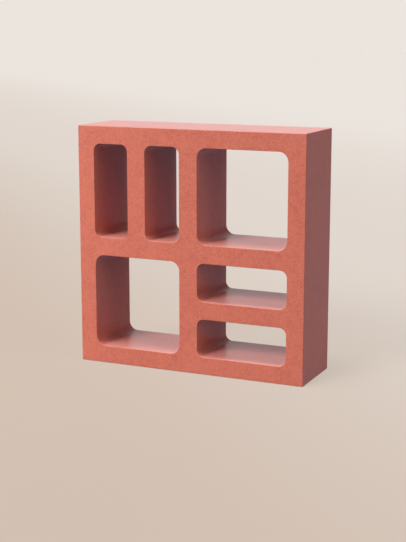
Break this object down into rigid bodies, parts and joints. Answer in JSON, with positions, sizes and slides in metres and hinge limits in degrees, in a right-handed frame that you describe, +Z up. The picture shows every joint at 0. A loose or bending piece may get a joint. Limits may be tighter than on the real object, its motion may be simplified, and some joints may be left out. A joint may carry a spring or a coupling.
{
  "type": "breeze block",
  "caption": "Square pierced screen block of pigmented cast concrete, with tall slots, wide slots and square windows cast straight through it.",
  "frame": {"origin": "middle of the bed, the lower face that the block stands on", "axes": "+Z up from the bed, +X across the show face to the right of someone facing it, -Y out of the show face; the block is the same from the back, mirrored"},
  "size_m": [0.3, 0.09, 0.3],
  "materials": {
    "pigmented_concrete": "matte"
  },
  "bodies": {
    "root": {"breeze_block": "pigmented_concrete"}
  },
  "joints": []
}
